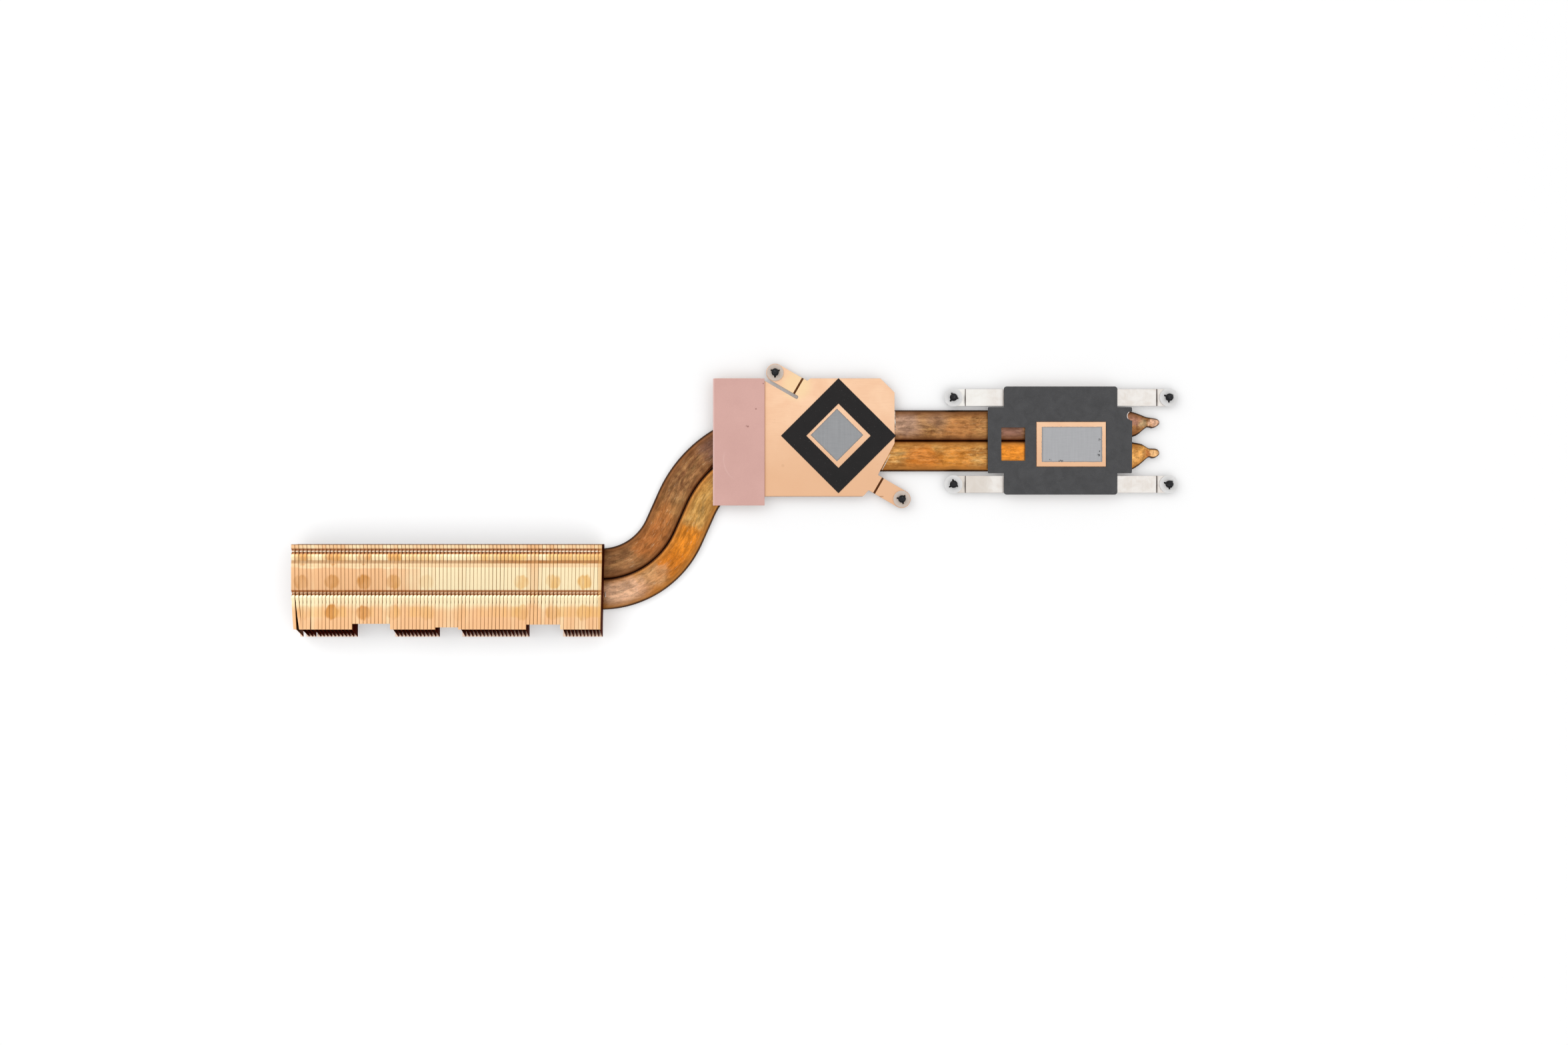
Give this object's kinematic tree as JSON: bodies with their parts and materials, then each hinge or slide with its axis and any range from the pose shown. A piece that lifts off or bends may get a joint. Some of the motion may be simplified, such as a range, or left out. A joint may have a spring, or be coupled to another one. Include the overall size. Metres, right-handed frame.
{
  "type": "laptop heatsink",
  "caption": "Flat laptop heatsink: twin pressed heat pipes in an S-bend join a copper fin stack to two contact plates with captive screws.",
  "frame": {"origin": "centre of the processor's contact face, on top of its thermal compound", "axes": "+X along the heatsink from the fins towards the pinched pipe ends, +Y across it from the exhaust edge of the fins towards the plates, +Z out of the contact faces towards the board"},
  "size_m": [0.2364, 0.0733, 0.0102],
  "materials": {
    "pipe_copper_brown": "satin",
    "pipe_copper_gold": "satin",
    "fin_copper": "satin",
    "plate_copper": "satin",
    "film_grey": "matt",
    "film_black": "matt",
    "compound_grey": "matt",
    "pad_pink": "matt",
    "spring_steel": "satin",
    "washer_clear": "clear",
    "screw_black": "black oxide"
  },
  "bodies": {
    "heatsink": {"heat_pipe_upper": "pipe_copper_brown", "heat_pipe_lower": "pipe_copper_gold", "fins_inner": "fin_copper", "fins_inner_notch": "fin_copper", "fins_middle": "fin_copper", "fins_middle_notch": "fin_copper", "fins_outer": "fin_copper", "fins_outer_notch": "fin_copper", "fins_end": "fin_copper", "fins_crushed": "fin_copper", "cpu_base_plate": "plate_copper", "gpu_plate": "plate_copper", "cpu_insulator": "film_grey", "gpu_insulator": "film_black", "cpu_thermal_compound": "compound_grey", "gpu_thermal_compound": "compound_grey", "memory_thermal_pad": "pad_pink", "cpu_spring_upper": "spring_steel", "cpu_spring_lower": "spring_steel"},
    "cpu_washer_upper_left": {"cpu_washer_upper_left": "washer_clear"},
    "cpu_screw_upper_left": {"cpu_screw_upper_left": "screw_black"},
    "cpu_washer_upper_right": {"cpu_washer_upper_right": "washer_clear"},
    "cpu_screw_upper_right": {"cpu_screw_upper_right": "screw_black"},
    "cpu_washer_lower_left": {"cpu_washer_lower_left": "washer_clear"},
    "cpu_screw_lower_left": {"cpu_screw_lower_left": "screw_black"},
    "cpu_washer_lower_right": {"cpu_washer_lower_right": "washer_clear"},
    "cpu_screw_lower_right": {"cpu_screw_lower_right": "screw_black"},
    "gpu_washer_upper": {"gpu_washer_upper": "washer_clear"},
    "gpu_screw_upper": {"gpu_screw_upper": "screw_black"},
    "gpu_washer_lower": {"gpu_washer_lower": "washer_clear"},
    "gpu_screw_lower": {"gpu_screw_lower": "screw_black"}
  },
  "joints": [
    {"name": "cpu_washer_upper_left_float", "type": "slide", "parent": "heatsink", "child": "cpu_washer_upper_left", "axis": [0, 0, 1], "range_m": [0, 0.0004]},
    {"name": "cpu_screw_upper_left_turn", "type": "hinge", "parent": "cpu_washer_upper_left", "child": "cpu_screw_upper_left", "pos_m": [-0.03145, 0.0126, -0.00195], "axis": [0, 0, 1], "continuous": true},
    {"name": "cpu_washer_upper_right_float", "type": "slide", "parent": "heatsink", "child": "cpu_washer_upper_right", "axis": [0, 0, 1], "range_m": [0, 0.0004]},
    {"name": "cpu_screw_upper_right_turn", "type": "hinge", "parent": "cpu_washer_upper_right", "child": "cpu_screw_upper_right", "pos_m": [0.02635, 0.0126, -0.00195], "axis": [0, 0, 1], "continuous": true},
    {"name": "cpu_washer_lower_left_float", "type": "slide", "parent": "heatsink", "child": "cpu_washer_lower_left", "axis": [0, 0, 1], "range_m": [0, 0.0004]},
    {"name": "cpu_screw_lower_left_turn", "type": "hinge", "parent": "cpu_washer_lower_left", "child": "cpu_screw_lower_left", "pos_m": [-0.03145, -0.0107, -0.00195], "axis": [0, 0, 1], "continuous": true},
    {"name": "cpu_washer_lower_right_float", "type": "slide", "parent": "heatsink", "child": "cpu_washer_lower_right", "axis": [0, 0, 1], "range_m": [0, 0.0004]},
    {"name": "cpu_screw_lower_right_turn", "type": "hinge", "parent": "cpu_washer_lower_right", "child": "cpu_screw_lower_right", "pos_m": [0.02635, -0.0107, -0.00195], "axis": [0, 0, 1], "continuous": true},
    {"name": "gpu_washer_upper_float", "type": "slide", "parent": "heatsink", "child": "gpu_washer_upper", "axis": [0, 0, 1], "range_m": [0, 0.0004]},
    {"name": "gpu_screw_upper_turn", "type": "hinge", "parent": "gpu_washer_upper", "child": "gpu_screw_upper", "pos_m": [-0.07927, 0.01927, -0.0013], "axis": [0, 0, 1], "continuous": true},
    {"name": "gpu_washer_lower_float", "type": "slide", "parent": "heatsink", "child": "gpu_washer_lower", "axis": [0, 0, 1], "range_m": [0, 0.0004]},
    {"name": "gpu_screw_lower_turn", "type": "hinge", "parent": "gpu_washer_lower", "child": "gpu_screw_lower", "pos_m": [-0.04533, -0.01467, -0.0013], "axis": [0, 0, 1], "continuous": true}
  ]
}
